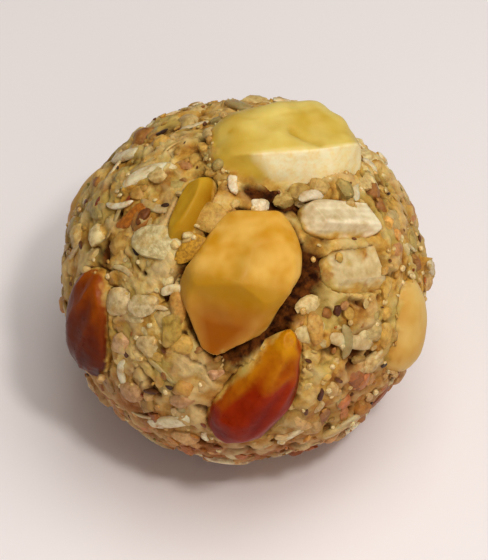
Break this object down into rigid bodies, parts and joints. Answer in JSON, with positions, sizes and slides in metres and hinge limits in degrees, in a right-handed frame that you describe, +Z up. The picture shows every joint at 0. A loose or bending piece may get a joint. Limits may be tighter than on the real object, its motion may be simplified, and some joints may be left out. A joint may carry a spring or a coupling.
{
  "type": "dry fruit ladoo",
  "caption": "Hand-rolled round sweet of ground nuts, coconut and seeds with cashew, raisin, almond and coconut pieces pressed into its surface, resting on a small flat spot.",
  "frame": {"origin": "middle of the flat spot that the ladoo rests on, below the middle of the ball", "axes": "+Z up out of the surface it rests on, -Y the side with the large front cashew and raisin, +X to the right seen from that side"},
  "size_m": [0.0466, 0.0498, 0.0464],
  "materials": {
    "mass": "rough crumbly mass of ground nuts and coconut, slightly greasy",
    "cashew": "roasted cashew, golden, satin",
    "raisin": "raisin skin, wrinkled, glossy",
    "almond": "brown almond skin, matt with fine furrows",
    "coconut": "dry coconut, ivory, satin"
  },
  "bodies": {
    "root": {"ladoo_mass": "mass", "cashew_front": "cashew", "cashew_sliver": "cashew", "cashew_top": "cashew", "cashew_right": "cashew", "cashew_back": "cashew", "cashew_half": "cashew", "raisin_front": "raisin", "raisin_left": "raisin", "raisin_back": "raisin", "raisin_low": "raisin", "almond_back": "almond", "coconut_front": "coconut", "coconut_chip": "coconut", "coconut_back": "coconut"}
  },
  "joints": []
}
